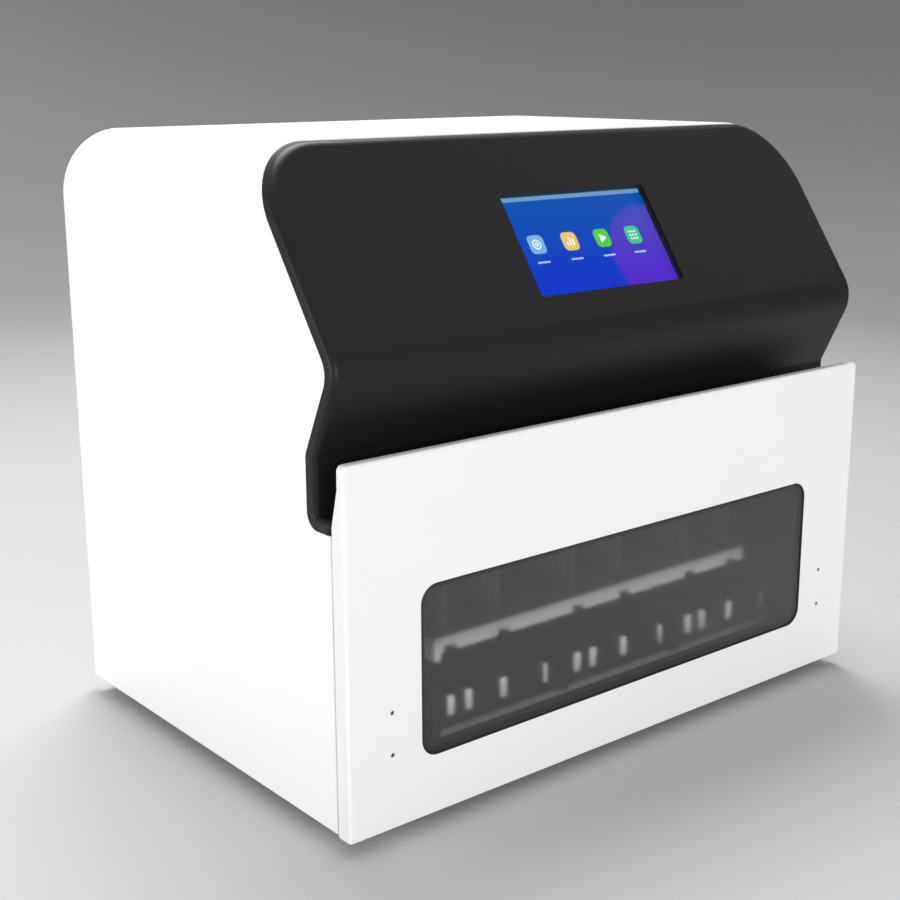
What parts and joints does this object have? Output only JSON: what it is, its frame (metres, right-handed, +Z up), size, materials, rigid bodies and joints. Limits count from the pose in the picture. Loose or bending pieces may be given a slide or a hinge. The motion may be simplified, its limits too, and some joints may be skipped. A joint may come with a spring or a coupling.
{
  "type": "nucleic acid extractor",
  "caption": "Bench instrument with a fold-down windowed front door, sloping black fascia with touch screen, moving deck and a lifting magnetic-rod head.",
  "frame": {"origin": "middle of the instrument's outer box, on the surface that its feet stand on", "axes": "+X to the right as one faces the door, +Y towards the rear panel, +Z up"},
  "size_m": [0.56, 0.397, 0.494],
  "materials": {
    "white_paint": "smooth powder coat",
    "door_white": "smooth moulded",
    "fascia_black": "satin moulded",
    "tinted_pane": "smoked transparent sheet",
    "black_rubber": "moulded",
    "black_plastic": "moulded",
    "screen_glass": "polished",
    "grey_plastic": "moulded",
    "white_plastic": "moulded",
    "steel": "ground",
    "zinc_steel": "zinc plated",
    "chrome_steel": "polished",
    "aluminium": "milled",
    "grey_aluminium": "anodised",
    "black_aluminium": "black anodised",
    "black_coat": "black powder coat",
    "bronze": "turned",
    "tube_glass": "clear tube",
    "circuit_green": "laminate",
    "rocker_red": "moulded"
  },
  "bodies": {
    "housing": {"outer_cover": "white_paint", "base_plate": "zinc_steel", "rear_panel": "white_paint", "front_frame": "white_paint", "front_fascia": "fascia_black", "chamber_liner": "black_coat", "tower_plate": "black_aluminium", "rubber_feet": "black_rubber", "display_bezel": "black_plastic", "touch_glass": "screen_glass", "display_module": "grey_plastic", "door_seal": "black_rubber", "latch_magnets": "chrome_steel", "hinge_brackets": "zinc_steel", "hinge_pins": "chrome_steel", "deck_base": "grey_aluminium", "deck_rails": "chrome_steel", "deck_bearing": "black_plastic", "deck_motor": "black_plastic", "lift_rails": "chrome_steel", "lift_bearing": "black_plastic", "lift_motor": "black_plastic", "motor_bracket": "zinc_steel", "uv_tube": "tube_glass", "lamp_holders": "white_plastic", "power_supply": "grey_aluminium", "control_board": "circuit_green", "mains_inlet": "black_plastic", "switch_frame": "black_plastic", "fan_frame": "black_plastic", "fan_guard": "chrome_steel", "data_sockets": "steel"},
    "door": {"door_panel": "door_white", "window_pane": "tinted_pane", "window_gasket": "black_rubber", "door_screws": "zinc_steel", "hinge_leaves": "zinc_steel", "strike_plates": "zinc_steel"},
    "deck": {"deck_carriage": "aluminium", "deck_blocks": "steel", "deck_nut": "bronze", "heater_blocks": "aluminium", "deck_plate": "black_aluminium"},
    "deck_drive_screw": {"deck_screw": "steel"},
    "head": {"comb_carrier": "aluminium", "head_bracket": "black_aluminium", "lift_blocks": "steel", "lift_nut": "bronze", "guide_shafts": "chrome_steel", "rod_motor": "black_plastic"},
    "lift_drive_screw": {"lift_screw": "steel", "lift_coupling": "aluminium"},
    "rod_carriage": {"rod_plate": "aluminium", "magnet_rods": "chrome_steel", "rod_bushings": "bronze", "rod_nut": "bronze"},
    "rod_drive_screw": {"rod_screw": "steel"},
    "fan_wheel": {"fan_rotor": "black_plastic"},
    "rocker": {"power_rocker": "rocker_red"}
  },
  "joints": [
    {"name": "door_hinge", "type": "hinge", "parent": "housing", "child": "door", "pos_m": [0, -0.1915, 0.019], "axis": [1, 0, 0], "range_deg": [0, 90]},
    {"name": "deck_shift", "type": "slide", "parent": "housing", "child": "deck", "axis": [1, 0, 0], "range_m": [-0.045, 0]},
    {"name": "deck_screw_turn", "type": "hinge", "parent": "housing", "child": "deck_drive_screw", "pos_m": [0, -0.1115, 0.0325], "axis": [1, 0, 0], "range_deg": [0, 2026]},
    {"name": "head_lift", "type": "slide", "parent": "housing", "child": "head", "axis": [0, 0, 1], "range_m": [0, 0.07]},
    {"name": "lift_screw_turn", "type": "hinge", "parent": "housing", "child": "lift_drive_screw", "pos_m": [0.01, -0.0315, 0.212], "axis": [0, 0, 1], "range_deg": [-3151, 0]},
    {"name": "rod_lower", "type": "slide", "parent": "head", "child": "rod_carriage", "axis": [0, 0, 1], "range_m": [-0.038, 0]},
    {"name": "rod_screw_turn", "type": "hinge", "parent": "head", "child": "rod_drive_screw", "pos_m": [0.01, -0.0615, 0.212], "axis": [0, 0, 1], "range_deg": [0, 1711]},
    {"name": "fan_spin", "type": "hinge", "parent": "housing", "child": "fan_wheel", "pos_m": [-0.13, 0.1715, 0.362], "axis": [0, 1, 0], "continuous": true},
    {"name": "power_rocker_tip", "type": "hinge", "parent": "housing", "child": "rocker", "pos_m": [0.205, 0.1875, 0.102], "axis": [1, 0, 0], "range_deg": [0, 12]}
  ],
  "couplings": [
    {"joint": "deck_screw_turn", "follows": "deck_shift", "rad_per_m": -785.4},
    {"joint": "lift_screw_turn", "follows": "head_lift", "rad_per_m": -785.4},
    {"joint": "rod_screw_turn", "follows": "rod_lower", "rad_per_m": -785.4}
  ]
}
